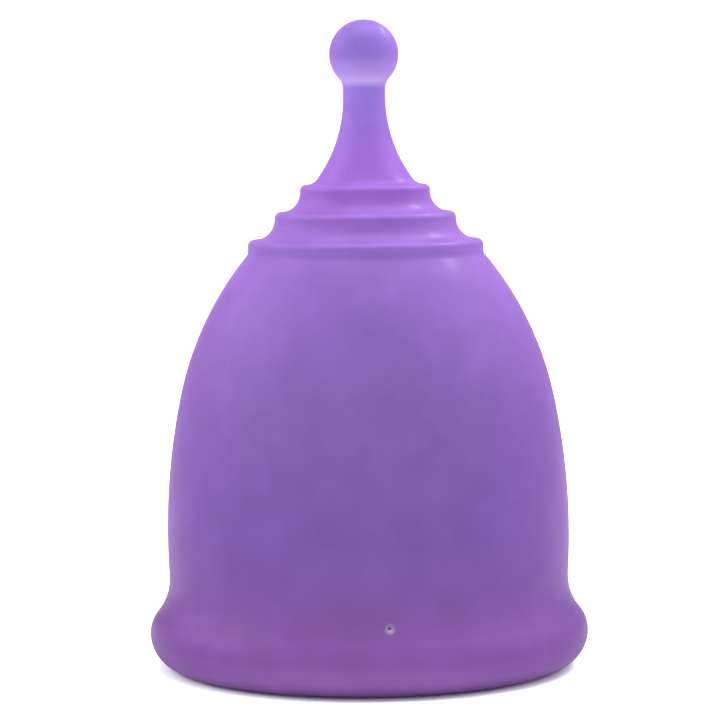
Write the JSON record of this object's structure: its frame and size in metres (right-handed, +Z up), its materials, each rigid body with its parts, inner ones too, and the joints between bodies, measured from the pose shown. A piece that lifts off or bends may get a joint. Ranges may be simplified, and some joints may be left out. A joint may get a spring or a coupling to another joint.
{
  "type": "silicone menstrual cup",
  "caption": "Soft bell-shaped silicone cup with a rolled rim, air vents, stepped grip rings and a stem ending in a small ball.",
  "frame": {"origin": "centre of the rim's resting face, with the cup standing mouth down", "axes": "+Z up along the cup's axis, from the mouth to the ball; -Y to the front, +X to the right seen from the front"},
  "size_m": [0.046, 0.046, 0.0675],
  "materials": {
    "silicone": "satin, frosted translucent silicone"
  },
  "bodies": {
    "cup": {"base": "silicone", "rim_left": "silicone", "rim_right": "silicone", "wall_left": "silicone", "wall_right": "silicone", "grip_ring_low": "silicone", "grip_ring_mid": "silicone", "grip_ring_top": "silicone", "stem_root": "silicone"},
    "front_side": {"rim_front": "silicone", "wall_front": "silicone"},
    "back_side": {"rim_back": "silicone", "wall_back": "silicone"},
    "stem": {"stem": "silicone"},
    "tip": {"stem_neck": "silicone", "pull_ball": "silicone"}
  },
  "joints": [
    {"name": "front_pinch", "type": "hinge", "parent": "cup", "child": "front_side", "pos_m": [0, -0.01, 0.0392], "axis": [1, 0, 0], "range_deg": [0, 16], "stiffness_Nm_per_rad": 0.6},
    {"name": "back_pinch", "type": "hinge", "parent": "cup", "child": "back_side", "pos_m": [0, 0.01, 0.0392], "axis": [-1, 0, 0], "range_deg": [0, 16], "stiffness_Nm_per_rad": 0.6},
    {"name": "stem_bend", "type": "hinge", "parent": "cup", "child": "stem", "pos_m": [0, 0, 0.05479], "axis": [0, 1, 0], "range_deg": [-45, 45], "stiffness_Nm_per_rad": 0.02},
    {"name": "tip_bend", "type": "hinge", "parent": "stem", "child": "tip", "pos_m": [0, 0, 0.05942], "axis": [1, 0, 0], "range_deg": [-40, 40], "stiffness_Nm_per_rad": 0.008}
  ],
  "couplings": [
    {"joint": "back_pinch", "follows": "front_pinch", "ratio": 1}
  ]
}
